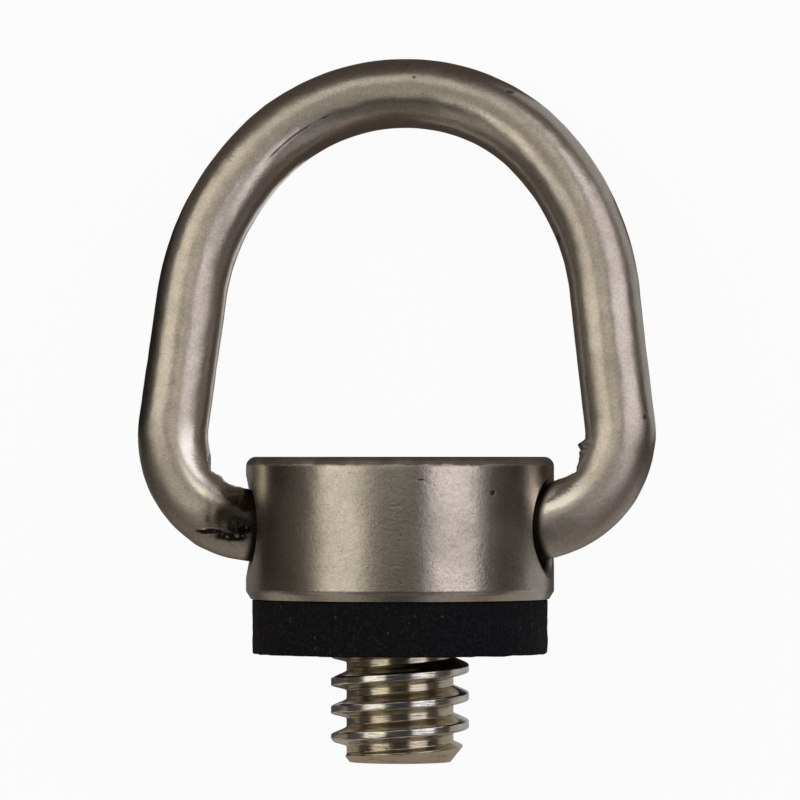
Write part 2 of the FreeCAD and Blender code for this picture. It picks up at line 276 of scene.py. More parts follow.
class Finish:
    """A procedural material."""

    def __init__(self, name):
        self.material = bpy.data.materials.new(name)
        self.material.use_nodes = True
        self.tree = self.material.node_tree
        self.tree.nodes.clear()

    def node(self, kind, settings=None, inputs=None, output=0):
        """Add a node with its settings, then the values or links of its sockets."""
        made = self.tree.nodes.new("ShaderNode" + kind)
        for name, value in (settings or {}).items():
            setattr(made, name, value)
        for key, value in (inputs or {}).items():
            socket = next(socket for socket in made.inputs if socket.identifier == key)
            if isinstance(value, Field):
                self.tree.links.new(value.socket, socket)
            else:
                socket.default_value = value
        return Field(self, made.outputs[output] if made.outputs else None)

    def math(self, operation, first, second):
        """A Math node on two values."""
        return self.node("Math", {"operation": operation}, {"Value": first, "Value_001": second})

    def place(self):
        """Where a point lies on its piece, in metres."""
        return self.node("TexCoord", output="Object")

    def vector(self, operation, first, second):
        """A Vector Math node on two places."""
        return self.node("VectorMath", {"operation": operation}, {"Vector": first, "Vector_001": second})

    def stretched(self, x, y, z):
        """The place with each direction scaled by itself."""
        return self.vector("MULTIPLY", self.place(), (x, y, z))

    def distance(self, point, scale):
        """How far a place is from a point, with each direction scaled by itself."""
        scaled = self.vector("MULTIPLY", self.vector("SUBTRACT", self.place(), point), scale)
        return self.node("VectorMath", {"operation": "LENGTH"}, {"Vector": scaled}, output="Value")

    def from_axis(self):
        """How far a place is from the screw's axis."""
        return self.distance((0.0, 0.0, 0.0), (1.0, 0.0, 1.0))

    def attribute(self, name):
        """A value that the mesh carries at its points."""
        return self.node("Attribute", {"attribute_name": name}, output="Fac")

    def noise(self, place, scale, detail=3.0, roughness=0.5, distortion=0.0):
        """Cloudy noise from 0 to 1, with so many features to a metre."""
        return self.node("TexNoise", {}, {
            "Vector": place, "Scale": scale,
            "Detail": detail, "Roughness": roughness, "Distortion": distortion,
        })

    def specks(self, place, scale, size, share):
        """Round specks of varied size, on a share of the cells of a scattered pattern."""
        settings = {"feature": "F1"}
        inputs = {"Vector": place, "Scale": scale}
        distance = self.node("TexVoronoi", settings, inputs, output="Distance")
        cell = self.node("TexVoronoi", settings, inputs, output="Color")
        chosen = self.ramp(self.node("SeparateColor", {}, {"Color": cell}), 1.0 - share, 1.0)
        return self.ramp(distance, size, size * SPECK_CORE) * chosen

    def ramp(self, value, start, end, low=0.0, high=1.0):
        """Ease from low to high as the value goes from start to end."""
        return self.node("MapRange", {"interpolation_type": "SMOOTHSTEP"}, {
            "Value": value, "From Min": start, "From Max": end, "To Min": low, "To Max": high,
        })

    def blend(self, factor, first, second):
        """Mix two colours, each a shader value or a colour property."""
        inputs = {"Factor_Float": factor}
        for key, value in (("A_Color", first), ("B_Color", second)):
            inputs[key] = value if isinstance(value, Field) else opaque(value)
        return self.node("Mix", {"data_type": "RGBA"}, inputs, output="Result")

    def layered(self, base, layers):
        """Lay colours over a base, each as far as its share says."""
        for share, over in layers:
            base = self.blend(share, base, over)
        return base

    def bump(self, height, depth):
        """A normal from a height of 0 to 1 that is so deep."""
        return self.node("Bump", {}, {"Strength": 1.0, "Distance": depth, "Height": height})

    def finished(self, **inputs):
        """Close the material with its main shader."""
        named = {key.replace("_", " "): value for key, value in inputs.items()}
        shader = self.node("BsdfPrincipled", {}, named)
        self.node("OutputMaterial", {}, {"Surface": shader})
        return self.material


def opaque(value):
    """A colour property as a shader colour."""
    return (*value, 1.0)


def mixed(main, other, share):
    """One noise with another mixed in, where the first has the given share."""
    return main * share + other * (1.0 - share)


def in_cross_hole(finish, screw, outside):
    """Painted shade in the cross-hole, from 0 to 1, that starts so far outside the head's wall."""
    fade = 0.34 * MM
    inner_spread, outer_spread = 0.15 * MM, 0.45 * MM
    start = screw.head_radius + outside
    from_hinge = finish.distance((0.0, screw.hinge_height, screw.hinge_offset), (0.0, 1.0, 1.0))
    inside = finish.ramp(finish.from_axis(), start, start - fade)
    near = finish.ramp(from_hinge, screw.mouth_radius + outer_spread, screw.mouth_radius + inner_spread)
    return inside * near


def on_upper_edge(finish, screw, ragged):
    """Painted dark reflection on the rounding of the head's upper edge, from 0 to 1, with a ragged lower
    side.
    """
    start, full = 0.12 * MM, 0.24 * MM
    inner_fade = 0.6 * MM
    wall_top = screw.head_top - screw.crown_round
    crown_middle = screw.head_radius - screw.crown_round
    height = finish.node("SeparateXYZ", {}, {"Vector": finish.place()}, output="Y")
    raised = finish.ramp(height + ragged, wall_top + start, wall_top + full)
    return raised * finish.ramp(finish.from_axis(), crown_middle - inner_fade, crown_middle)


def spots(finish, ellipsoids, ragged, start=1.3, end=0.8):
    """Ragged spots, from 0 to 1, where a surface passes through ellipsoids.

    Each ellipsoid is its middle and radii. Its spot comes up from the start to the end, in radii.
    """
    total = 0.0
    for middle, radii in ellipsoids:
        away = finish.distance(middle, [1.0 / radius for radius in radii])
        total = finish.math("MAXIMUM", finish.ramp(away + ragged, start, end), total)
    return total


def satin_nickel(colours, screw, shade_outside, marks, burnt_spots=(), stains=(), on_head=False):
    """Blasted nickel plate with fine grain, faint wrinkles and dull clouds, and all of its wear, with
    painted shade in the cross-hole and on the ring's outer bends, painted highlights on the ring and a
    painted dark reflection on the head's upper edge.
    """
    finish = Finish("satin_nickel")
    place = finish.place()
    grain = finish.noise(place, scale=9000.0, detail=2.0, roughness=0.6)
    wrinkle = finish.noise(place, scale=3300.0, detail=1.5, distortion=1.2)
    cloud = finish.noise(place, scale=420.0, roughness=0.6)
    tear = finish.noise(place, scale=1900.0, roughness=0.6)
    glitter = finish.noise(place, scale=3600.0, detail=1.0)
    pits = finish.specks(place, scale=1300.0, size=0.16, share=0.03)
    flecks = finish.specks(place, scale=5200.0, size=0.30, share=0.06)
    # The wire's attributes carry painted shade on its outer bends and a painted highlight at the right root
    # and left bend, besides its wear.
    beaten, scuffed, rubbed, seam = [finish.attribute(name) for name in WEAR_AND_PAINTED_LIGHT]

    torn = finish.ramp(tear, start=0.30, end=0.50) * beaten
    die_line = finish.ramp(seam, start=0.40, end=0.95)
    single = spots(finish, marks, tear * MARK_RAGGED)
    pitted = finish.math("MAXIMUM", single * MARK_COVER, pits * PIT_COVER)
    marked = finish.math("MAXIMUM", pitted, die_line * DIE_LINE_COVER)
    burnt = spots(finish, burnt_spots, tear * BURNT_RAGGED)
    stained = spots(finish, stains, tear * STAIN_RAGGED, start=1.8, end=0.9)
    glint = finish.ramp(glitter, start=0.63, end=0.68) * burnt
    # Painted shade in the cross-hole.
    hole = in_cross_hole(finish, screw, shade_outside)
    # Painted dark reflection on the head's upper edge.
    edge_reflection = 0.0
    if on_head:
        patchy = finish.ramp(cloud, start=0.35, end=0.65, low=1.0, high=0.72)
        edge_reflection = on_upper_edge(finish, screw, tear * EDGE_REFLECTION_RAGGED) * patchy

    clouded = finish.ramp(cloud, start=0.35, end=0.75, high=0.2)
    wrinkled = finish.ramp(wrinkle, start=0.40, end=0.60, high=0.14)
    grained = finish.ramp(grain, start=0.36, end=0.64, high=0.40)
    # Scuffed bends turn darker here, as painted shade.
    dull = grained + clouded + wrinkled + scuffed * SCUFF_SHADE_COVER
    # The layers put painted shade in the cross-hole, a painted highlight and a painted dark reflection over
    # the plate, besides its marks and stains.
    base_colour = finish.layered(finish.blend(dull, colours.nickel, colours.nickel_worn), (
        (finish.math("MAXIMUM", flecks * FLECK_COVER, marked), colours.grime),
        (edge_reflection, colours.dark_edge_reflection),
        (rubbed, colours.rubbed),
        (torn * TORN_COVER, colours.beaten),
        (stained * STAIN_COVER, colours.stain),
        (burnt - glint, colours.burnt),
        (hole, colours.hole),
    ))
    roughness = finish.ramp(cloud, start=0.3, end=0.7, low=0.27, high=0.33)
    for wear, added in (
        (scuffed, 0.16), (edge_reflection, 0.35), (hole, 0.3), (rubbed, -0.08), (torn, -0.08), (burnt, -0.16),
    ):
        roughness = roughness + wear * added
    crust = (burnt * BURNT_CRUST + stained * STAINED_CRUST) * tear
    height = mixed(wrinkle, grain, share=0.7) - marked + crust
    return finish.finished(
        Base_Color=base_colour,
        Metallic=1.0,
        Roughness=roughness,
        Normal=finish.bump(height, depth=0.009 * MM),
    )


def cut_thread_finish(colours, screw):
    """Bright thread with golden roots, fine turning lines and a few nicks."""
    finish = Finish("cut_thread")
    place = finish.place()
    turning = finish.noise(finish.stretched(0.10, 1.0, 0.10), scale=12000.0, roughness=0.6)
    smear = finish.noise(place, scale=1500.0, roughness=0.55)
    nicks = finish.specks(place, scale=2600.0, size=0.22, share=0.12)
    crest = finish.ramp(finish.from_axis(), screw.root_radius, screw.thread_radius)
    base_colour = finish.layered(finish.blend(crest, colours.thread_root, colours.thread), (
        (finish.ramp(smear, start=0.45, end=0.75, high=0.45), colours.nickel_worn),
        (finish.ramp(turning, start=0.52, end=0.72, high=0.55), colours.grime),
        (nicks * NICK_COVER, colours.grime),
    ))
    return finish.finished(
        Base_Color=base_colour,
        Metallic=1.0,
        Roughness=finish.ramp(smear, start=0.3, end=0.75, low=0.16, high=0.26),
        Normal=finish.bump(mixed(turning, smear, share=0.7) - nicks, depth=0.008 * MM),
    )


def black_rubber(colours):
    """Matt black rubber with a fine open grain, dull patches and brown specks."""
    finish = Finish("black_rubber")
    place = finish.place()
    grain = finish.noise(place, scale=7000.0, detail=4.0, roughness=0.65)
    patch = finish.noise(place, scale=900.0, roughness=0.6)
    specks = finish.specks(place, scale=4200.0, size=0.34, share=0.20)
    dusty = finish.ramp(mixed(grain, patch, share=0.8), start=0.46, end=0.66, high=0.75)
    worn = finish.blend(dusty, colours.rubber, colours.rubber_dust)
    return finish.finished(
        Base_Color=finish.blend(specks * RUBBER_SPECK_COVER, worn, colours.rubber_specks),
        Metallic=0.0,
        Roughness=finish.ramp(patch, start=0.3, end=0.7, low=0.72, high=0.9),
        Normal=finish.bump(mixed(grain, patch, share=0.7), depth=0.03 * MM),
        Specular_IOR_Level=0.2,
    )


# Meshes

MERGE_DISTANCE = 0.001 * MM


def quads(rows, columns, skipped=None):
    """Corner numbers of the cells of a grid that is closed across its columns."""
    cells = []
    for row in range(rows - 1):
        for column in range(columns):
            if skipped is not None and skipped(row, column):
                continue
            following = (column + 1) % columns
            cells.append((
                row * columns + column,
                row * columns + following,
                (row + 1) * columns + following,
                (row + 1) * columns + column,
            ))
    return cells


def unevenness(points, wave, seed, waves=24):
    """Smooth noise of about -1 to 1 at points, with bumps about one wave long."""
    slowest, fastest = 0.6, 1.6
    dice = np.random.default_rng(seed)
    directions = dice.normal(size=(waves, 3))
    directions /= np.linalg.norm(directions, axis=1, keepdims=True)
    rates = 2 * math.pi / wave * dice.uniform(slowest, fastest, size=(waves, 1))
    starts = dice.uniform(0, 2 * math.pi, size=waves)
    return np.sin(points @ (directions * rates).T + starts).sum(axis=1) / math.sqrt(waves)


class Bumps(NamedTuple):
    """Unevenness of one kind: how strong it is, how long its bumps are and the seed of their places."""

    share: float
    wave: float
    seed: int


def uneven(points, *kinds):
    """Smooth noise at points from several kinds of bumps."""
    return sum(kind.share * unevenness(points, kind.wave, kind.seed) for kind in kinds)


def ease(values, start, end):
    """From 0 where values are at the start to 1 where they are at the end."""
    return np.clip((values - start) / (end - start), 0.0, 1.0)


def between(start, end, steps):
    """Profile points on a straight line, without its end."""
    away = (end[0] - start[0], end[1] - start[1])
    return [
        (start[0] + away[0] * step / steps, start[1] + away[1] * step / steps)
        for step in range(steps)
    ]


def rounded(middle, radius, start, end, steps):
    """Profile points round an edge, from one angle to another in degrees, without its end."""
    turns = [math.radians(start + (end - start) * step / steps) for step in range(steps)]
    return [(middle[0] + radius * math.cos(turn), middle[1] + radius * math.sin(turn)) for turn in turns]


def add_piece(name, points, faces, finishes, body, sharp_angle, wear=None):
    """A piece of the object that stands for the CAD node of the same name."""
    mesh = bpy.data.meshes.new(name)
    mesh.from_pydata(points.tolist(), [], faces)
    for key, amount in (wear or {}).items():
        mesh.attributes.new(key, "FLOAT", "POINT").data.foreach_set("value", amount)
    shape = bmesh.new()
    shape.from_mesh(mesh)
    bmesh.ops.remove_doubles(shape, verts=shape.verts, dist=MERGE_DISTANCE)
    bmesh.ops.recalc_face_normals(shape, faces=shape.faces)
    shape.to_mesh(mesh)
    shape.free()
    mesh.shade_smooth()
    mesh.set_sharp_from_angle(angle=sharp_angle)
    for finish in finishes:
        mesh.materials.append(finish)
    piece = bpy.data.objects.new(name + "_piece", mesh)
    bpy.context.scene.collection.objects.link(piece)
    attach(piece, body)
    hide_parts(name)
    return piece


# Screw

# Columns round the screw, and rings from the middle of its top to its tip.
SCREW_COLUMNS = 180
TOP_RINGS = 14
CROWN_RINGS = 10
WALL_ROWS = 41
CHAMFER_RINGS = 3
FOOT_RINGS = 10
NECK_RINGS = 6
THREAD_ROWS = 190
# Patches of the wall round the two mouths, and rings from their edges over the rims and through the bore.
PATCH_HALF_COLUMNS = 12
PATCH_MARGIN_ROWS = 3
PATCH_RINGS = 8
RIM_RINGS = 7
MOUTH_RINGS = 6
BORE_RINGS = 14
# Rounds that find a mouth's rim, and samples that ease the thread's edges.
RIM_ROUNDS = 30
EASE_SAMPLES = 9
# Where the painted shade of the cross-hole starts, outwards from the head's wall.
HEAD_HOLE_SHADE = -0.08 * MM
# Single dark pits in the wall: middle and radii.
HEAD_MARKS = (
    ((1.43 * MM, 7.92 * MM, 6.85 * MM), (0.17 * MM, 0.07 * MM, 0.3 * MM)),
    ((4.58 * MM, 7.34 * MM, 5.30 * MM), (0.16 * MM, 0.15 * MM, 0.3 * MM)),
)


def head_profile(sizes):
    """Radius and height of each ring from the top's middle to the neck, and the wall's first ring."""
    wall_top = sizes.head_top - sizes.crown_round
    wall_foot = sizes.head_foot + sizes.chamfer_height
    crown_middle = sizes.head_radius - sizes.crown_round
    chamfer_foot = (sizes.head_radius - sizes.chamfer_depth, sizes.head_foot)
    rings = between((0.0, sizes.head_top), (crown_middle, sizes.head_top), TOP_RINGS)
    rings += rounded((crown_middle, wall_top), sizes.crown_round, 90, 0, CROWN_RINGS)
    wall_start = len(rings)
    rings += between((sizes.head_radius, wall_top), (sizes.head_radius, wall_foot), WALL_ROWS - 1)
    rings += between((sizes.head_radius, wall_foot), chamfer_foot, CHAMFER_RINGS)
    rings += between(chamfer_foot, (sizes.neck_radius, sizes.head_foot), FOOT_RINGS)
    rings += between((sizes.neck_radius, sizes.head_foot), (sizes.neck_radius, 0.0), NECK_RINGS)
    rings.append((sizes.neck_radius, 0.0))
    return rings, wall_start


def thread_radius_at(sizes, angle, height):
    """Radius of the cut thread, its edges and lead eased, at angles and heights."""
    # The right side is a quarter of a turn from where angles start.
    right_side = 0.25
    groove = -sizes.first_groove + sizes.pitch * (angle / (2 * math.pi) - right_side)
    half_root = (sizes.pitch - sizes.crest_flat - sizes.upper_flank - sizes.lower_flank) / 2
    taper_start = sizes.tip + sizes.tip_taper
    taper = (sizes.thread_radius - sizes.tip_radius) / sizes.tip_taper
    total = 0.0
    offsets = np.linspace(-0.5, 0.5, EASE_SAMPLES) * sizes.thread_ease
    for offset in offsets:
        level = height + offset
        above = np.mod(level - groove + sizes.pitch / 2, sizes.pitch) - sizes.pitch / 2
        # The crest above the groove rises with its lower flank, the one below with its upper flank.
        crest_above = (above - half_root) / sizes.lower_flank
        crest_below = (-above - half_root) / sizes.upper_flank
        rise = np.clip(np.maximum(crest_above, crest_below), 0.0, 1.0)
        cut = sizes.root_radius + (sizes.thread_radius - sizes.root_radius) * rise
        lead = sizes.thread_radius - np.clip(taper_start - level, 0.0, None) * taper
        total = total + np.minimum(cut, lead)
    return total / len(offsets)


def tunnel_rings(sizes, loop):
    """Rings from the right wall patch's edge, over the mouth's rim and through the bore to the left."""
    middle = np.array([sizes.hinge_height, sizes.hinge_offset])
    away = loop[:, 1:] - middle
    spread = np.linalg.norm(away, axis=1)
    around = away / spread[:, None]
    straight = sizes.head_radius - sizes.mouth_depth
    slope = (sizes.mouth_radius - sizes.bore_radius) / sizes.mouth_depth

    def on_wall(radius):
        """Points on the head's wall at a distance from the bore's axis."""
        across = middle + around * radius[:, None]
        return np.column_stack([np.sqrt(sizes.head_radius ** 2 - across[:, 1] ** 2), across])

    def in_cone(depth):
        """Points on the tapered mouth or the bore at places along the hinge."""
        radius = sizes.bore_radius + np.clip(depth - straight, 0.0, None) * slope
        return np.column_stack([depth, middle + around * radius[:, None]])

    rim_depth = np.full(len(loop), sizes.head_radius)
    for _ in range(RIM_ROUNDS):
        rim_radius = sizes.bore_radius + (rim_depth - straight) * slope
        rim_depth = on_wall(rim_radius)[:, 0]
    rim = on_wall(rim_radius)
    outer = on_wall(rim_radius + sizes.rim_round)
    inner = in_cone(rim_depth - sizes.rim_round)

    rings = []
    for share in np.arange(PATCH_RINGS) / PATCH_RINGS:
        rings.append(on_wall(spread + (rim_radius + sizes.rim_round - spread) * share))
    for share in np.arange(RIM_RINGS) / RIM_RINGS:
        rings.append((1 - share) ** 2 * outer + 2 * share * (1 - share) * rim + share ** 2 * inner)
    for share in np.arange(MOUTH_RINGS) / MOUTH_RINGS:
        rings.append(in_cone(inner[:, 0] * (1 - share) + straight * share))
    bore_shares = np.linspace(1.0, -1.0, BORE_RINGS)
    bore = [in_cone(np.full(len(loop), straight * share)) for share in bore_shares]
    left = [ring * np.array([-1.0, 1.0, 1.0]) for ring in reversed(rings)]
    return np.array(rings + bore + left)


def make_screw(sizes, colours):
    """Head, cross-hole, neck and thread in one mesh."""
    rings, wall_start = head_profile(sizes)
    step = 2 * math.pi / SCREW_COLUMNS
    angles = (np.arange(SCREW_COLUMNS) + 0.5) * step
    profile = np.array(rings)
    radius = np.repeat(profile[:, :1], SCREW_COLUMNS, axis=1)
    height = np.repeat(profile[:, 1:], SCREW_COLUMNS, axis=1)
    levels = np.linspace(0.0, sizes.tip, THREAD_ROWS)
    turned, level = np.meshgrid(angles, levels)
    thread = thread_radius_at(sizes, turned, level)
    # Rings of the stud's flat end, as shares of its radius.
    end_shares = np.array([0.985, 0.9, 0.75, 0.5, 0.25, 0.0])
    end = end_shares[:, None] * thread[-1]
    radius = np.vstack([radius, thread, end])
    height = np.vstack([height, level, np.full(end.shape, sizes.tip)])
    angle = np.broadcast_to(angles, radius.shape)
    points = np.stack([radius * np.sin(angle), height, radius * np.cos(angle)], axis=2)

    mouth_column = round(math.acos(sizes.hinge_offset / sizes.head_radius) / step - 0.5)
    first_column = mouth_column - PATCH_HALF_COLUMNS
    last_column = mouth_column + PATCH_HALF_COLUMNS
    first_row = wall_start + PATCH_MARGIN_ROWS
    last_row = wall_start + WALL_ROWS - 1 - PATCH_MARGIN_ROWS

    def in_patch(row, column):
        """Whether a cell of the wall lies in one of the two patches round the mouths."""
        mirrored = SCREW_COLUMNS - 2 - column
        beside = first_column <= column < last_column or first_column <= mirrored < last_column
        return beside and first_row <= row < last_row

    corners = [(first_row, column) for column in range(first_column, last_column)]
    corners += [(row, last_column) for row in range(first_row, last_row)]
    corners += [(last_row, column) for column in range(last_column, first_column, -1)]
    corners += [(row, first_column) for row in range(last_row, first_row, -1)]
    tunnel = tunnel_rings(sizes, np.array([points[corner] for corner in corners]))

    body_points = points.reshape(-1, 3)
    faces = quads(len(points), SCREW_COLUMNS, in_patch)
    offset = len(body_points)
    faces += [tuple(corner + offset for corner in cell) for cell in quads(len(tunnel), len(corners))]
    all_points = np.vstack([body_points, tunnel.reshape(-1, 3)])
    finishes = [
        satin_nickel(colours, sizes, HEAD_HOLE_SHADE, HEAD_MARKS, on_head=True),
        cut_thread_finish(colours, sizes),
    ]
    piece = add_piece(
        "screw", all_points, faces, finishes, "head", sharp_angle=math.radians(50)
    )
    # All below the camera's seat is cut thread.
    for face in piece.data.polygons:
        if face.center.y < 0.0:
            face.material_index = 1
    return piece


# Washer

# Columns round the washer, and rings across each face, up the edge and the hole and round each worn edge.
WASHER_COLUMNS = 360
FACE_RINGS = 14
EDGE_RINGS = 18
HOLE_RINGS = 6
WEAR_RINGS = 6
# Height over the camera's face up to which it is uneven, in wears of its edge.
FACE_WEAR = 4
EDGE_BUMPS = (Bumps(share=0.25, wave=2.6 * MM, seed=11), Bumps(share=0.25, wave=0.6 * MM, seed=12))
FACE_BUMPS = (Bumps(share=0.3, wave=1.7 * MM, seed=13), Bumps(share=0.2, wave=0.5 * MM, seed=14))


def make_washer(sizes, colours):
    """Washer with rounded, slightly uneven cut edges."""
    low, high = sizes.lower_face, sizes.upper_face
    edge, hole, wear = sizes.edge_radius, sizes.hole_radius, sizes.edge_wear
    rings = between((hole, low), (edge - wear, low), FACE_RINGS)
    rings += rounded((edge - wear, low + wear), wear, -90, 0, WEAR_RINGS)
    rings += between((edge, low + wear), (edge, high - wear), EDGE_RINGS)
    rings += rounded((edge - wear, high - wear), wear, 0, 90, WEAR_RINGS)
    rings += between((edge - wear, high), (hole, high), FACE_RINGS)
    rings += between((hole, high), (hole, low), HOLE_RINGS)
    rings.append((hole, low))
    profile = np.array(rings)
    angle = np.arange(WASHER_COLUMNS) * 2 * math.pi / WASHER_COLUMNS
    radius = np.repeat(profile[:, :1], WASHER_COLUMNS, axis=1)
    height = np.repeat(profile[:, 1:], WASHER_COLUMNS, axis=1)
    points = np.stack([radius * np.sin(angle), height, radius * np.cos(angle)], axis=2).reshape(-1, 3)
    # The cut wanders in the outer third only and inwards only, by about half of what it may.
    outside = ease(radius.reshape(-1), (hole + 2 * edge) / 3, edge)
    wander = np.clip(0.5 + uneven(points, *EDGE_BUMPS), 0.0, 1.0)
    shrink = 1.0 - outside * wander * sizes.cut_wander / edge
    points[:, 0] *= shrink
    points[:, 2] *= shrink
    near_face = ease(points[:, 1], low + FACE_WEAR * wear, low)
    lifted = np.clip(0.5 + uneven(points, *FACE_BUMPS), 0.0, 1.0)
    points[:, 1] += outside * near_face * lifted * sizes.cut_wander
    return add_piece(
        "rubber_washer", points, quads(len(rings), WASHER_COLUMNS), [black_rubber(colours)],
        "head", sharp_angle=math.radians(40),
    )


# Ring

# Columns round the wire, and steps along it and along its bends.
WIRE_COLUMNS = 80
WIRE_STEP = 0.14 * MM
BEND_STEP = 0.06 * MM
WIRE_BUMPS = (Bumps(share=0.6, wave=3.5 * MM, seed=21), Bumps(share=0.4, wave=1.2 * MM, seed=22))
# Depth at which pressed plate is torn all over, and the bumps of torn plate.
BEATEN_DEPTH = 0.10 * MM
TORN_BUMPS = Bumps(share=0.008 * MM, wave=0.45 * MM, seed=23)
# Unevenness along each dent, with a seed for each from the first one on.
DENT_SHARE = 0.12
DENT_WAVE = 0.8 * MM
DENT_SEED = 40
# Where the painted shade of the cross-hole starts on the wire, outwards from the head's wall.
RING_HOLE_SHADE = 0.27 * MM
# Die line along the left of the crown: its column round the wire, how plain it is, and the degrees round
# the crown between which it comes up and goes.
SEAM_COLUMN = 27
SEAM_SHARE = 0.85
SEAM_BUMPS = Bumps(share=0.3, wave=1.5 * MM, seed=24)
SEAM_START = (-60.0, -52.0)
SEAM_END = (-22.0, -26.0)
# Single dark pits and nicks along the wire: middle and radii.
RING_MARKS = (
    ((0.34 * MM, 26.44 * MM, -3.95 * MM), (0.11 * MM, 0.09 * MM, 0.3 * MM)),
    ((4.76 * MM, 25.74 * MM, -4.03 * MM), (0.24 * MM, 0.11 * MM, 0.3 * MM)),
    ((11.16 * MM, 10.75 * MM, 0.64 * MM), (0.10 * MM, 0.14 * MM, 0.3 * MM)),
    ((7.04 * MM, 18.88 * MM, -2.79 * MM), (0.14 * MM, 0.30 * MM, 0.5 * MM)),
)
# Dark spot and streak where the left end enters the head.
BURNT_SPOTS = (
    ((-7.00 * MM, 5.78 * MM, 2.6 * MM), (1.05 * MM, 0.74 * MM, 0.9 * MM)),
    ((-7.45 * MM, 5.36 * MM, 2.5 * MM), (1.30 * MM, 0.34 * MM, 0.9 * MM)),
    ((-8.35 * MM, 5.58 * MM, 2.4 * MM), (1.00 * MM, 0.19 * MM, 0.9 * MM)),
)
# Brown stain round them.
STAINS = (((-7.25 * MM, 6.30 * MM, 2.5 * MM), (1.45 * MM, 1.00 * MM, 1.5 * MM)),)


class Dent(NamedTuple):
    """A flat beaten into the wire at a lower bend or, where its depth is negative, a burr."""

    side: int
    # Degrees round the bend, from -90 at the cross-hole to about 8 at the leg, and half the spread.
    bend: float
    spread: float
    # Degrees round the wire: 0 faces out of the ring, 90 up and 180 into the ring.
    facing: float
    depth: float
    # A burr with a greater sharpness is narrower.
    sharpness: int = 3


DENTS = (
    Dent(side=1, bend=-41, spread=16, facing=180, depth=0.46 * MM),
    Dent(side=1, bend=-13, spread=6, facing=176, depth=-0.24 * MM, sharpness=10),
    Dent(side=1, bend=-21, spread=3, facing=165, depth=-0.10 * MM, sharpness=14),
    Dent(side=1, bend=-60, spread=8, facing=175, depth=-0.10 * MM),
    Dent(side=-1, bend=-39, spread=20, facing=180, depth=0.47 * MM),
    Dent(side=-1, bend=-58, spread=28, facing=174, depth=0.26 * MM),
    Dent(side=-1, bend=-80, spread=26, facing=125, depth=0.22 * MM),
    Dent(side=-1, bend=-58, spread=42, facing=0, depth=-0.12 * MM),
)


def arc(middle, radius, start, end, step=WIRE_STEP):
    """Points and headings round an arc, in the ring's plane, without the end."""
    steps = max(2, math.ceil(abs(end - start) * radius / step))
    turns = start + (end - start) * np.arange(steps) / steps
    outward = np.column_stack([np.cos(turns), np.sin(turns)])
    sense = 1.0 if end > start else -1.0
    return middle + radius * outward, sense * np.column_stack([-outward[:, 1], outward[:, 0]])


def run(start, end):
    """Points and headings along a straight line, in the ring's plane, without the end."""
    away = end - start
    steps = max(2, math.ceil(np.linalg.norm(away) / WIRE_STEP))
    shares = np.arange(steps)[:, None] / steps
    return start + away * shares, np.repeat([away / np.linalg.norm(away)], steps, axis=0)


def ring_line(sizes, head_radius):
    """The wire's middle line and headings from the right pin's end to the left one's."""
    turn = sizes.crown_half_angle
    upright = math.pi / 2
    crown = np.array([0.0, sizes.reach - sizes.crown_radius])
    step_in = sizes.crown_radius - sizes.shoulder_radius
    shoulder = crown + step_in * np.array([math.sin(turn), math.cos(turn)])
    bend = np.array([head_radius - sizes.bend_inset, sizes.bend_radius])
    pin_end = np.array([bend[0] - sizes.pin_length, 0.0])
    away = shoulder - bend
    spread = math.acos((sizes.bend_radius - sizes.shoulder_radius) / np.linalg.norm(away))
    bend_end = math.atan2(away[1], away[0]) - spread
    leg_side = np.array([math.cos(bend_end), math.sin(bend_end)])
    pieces = [
        run(pin_end, np.array([bend[0], 0.0])),
        arc(bend, sizes.bend_radius, -upright, bend_end, BEND_STEP),
        run(bend + sizes.bend_radius * leg_side, shoulder + sizes.shoulder_radius * leg_side),
        arc(shoulder, sizes.shoulder_radius, bend_end, upright - turn),
        arc(crown, sizes.crown_radius, upright - turn, upright),
    ]
    line = np.vstack([piece[0] for piece in pieces])
    heading = np.vstack([piece[1] for piece in pieces])
    top = np.array([[0.0, sizes.reach]])
    line = np.vstack([line, top, line[::-1] * [-1.0, 1.0]])
    heading = np.vstack([heading, [[-1.0, 0.0]], heading[::-1] * [1.0, -1.0]])
    return line, heading


def in_space(line):
    """Points of the ring's plane as points in space."""
    return np.column_stack([line, np.zeros(len(line))])


def angle_round_bend(sizes, head_radius, line):
    """Degrees round the nearer lower bend, from -90 at the cross-hole to 0 and more along the leg."""
    past_bend = np.abs(line[:, 0]) - (head_radius - sizes.bend_inset)
    return np.degrees(np.arctan2(line[:, 1] - sizes.bend_radius, past_bend))


def beaten_radius(line, bend_angle, round_angle, plain_radius):
    """The wire's radius at each place along and round it once the dents are in, and how torn it is."""
    least_facing = 0.2
    side = np.sign(line[:, 0])
    radius = np.repeat(plain_radius[:, None], len(round_angle), axis=1)
    torn = np.zeros(radius.shape)
    for number, dent in enumerate(DENTS):
        share = 1.0 - np.abs(bend_angle - dent.bend) / dent.spread
        share = np.where(side == dent.side, np.clip(share, 0.0, None), 0.0)
        bumps = Bumps(DENT_SHARE, DENT_WAVE, DENT_SEED + number)
        depth = dent.depth * share * (1.0 + uneven(in_space(line), bumps))
        facing = np.cos(round_angle - math.radians(dent.facing))
        if dent.depth > 0:
            flat = (plain_radius - depth)[:, None] / np.maximum(facing, least_facing)[None, :]
            pressed = np.clip(plain_radius[:, None] - flat, 0.0, None)
            pressed = np.where(depth[:, None] > 0, pressed, 0.0)
            radius = np.where(pressed > 0, np.minimum(radius, plain_radius[:, None] - pressed), radius)
            torn = np.maximum(torn, pressed / BEATEN_DEPTH)
        else:
            radius = radius - depth[:, None] * np.clip(facing, 0.0, None)[None, :] ** dent.sharpness
    return radius, np.clip(torn, 0.0, 1.0)


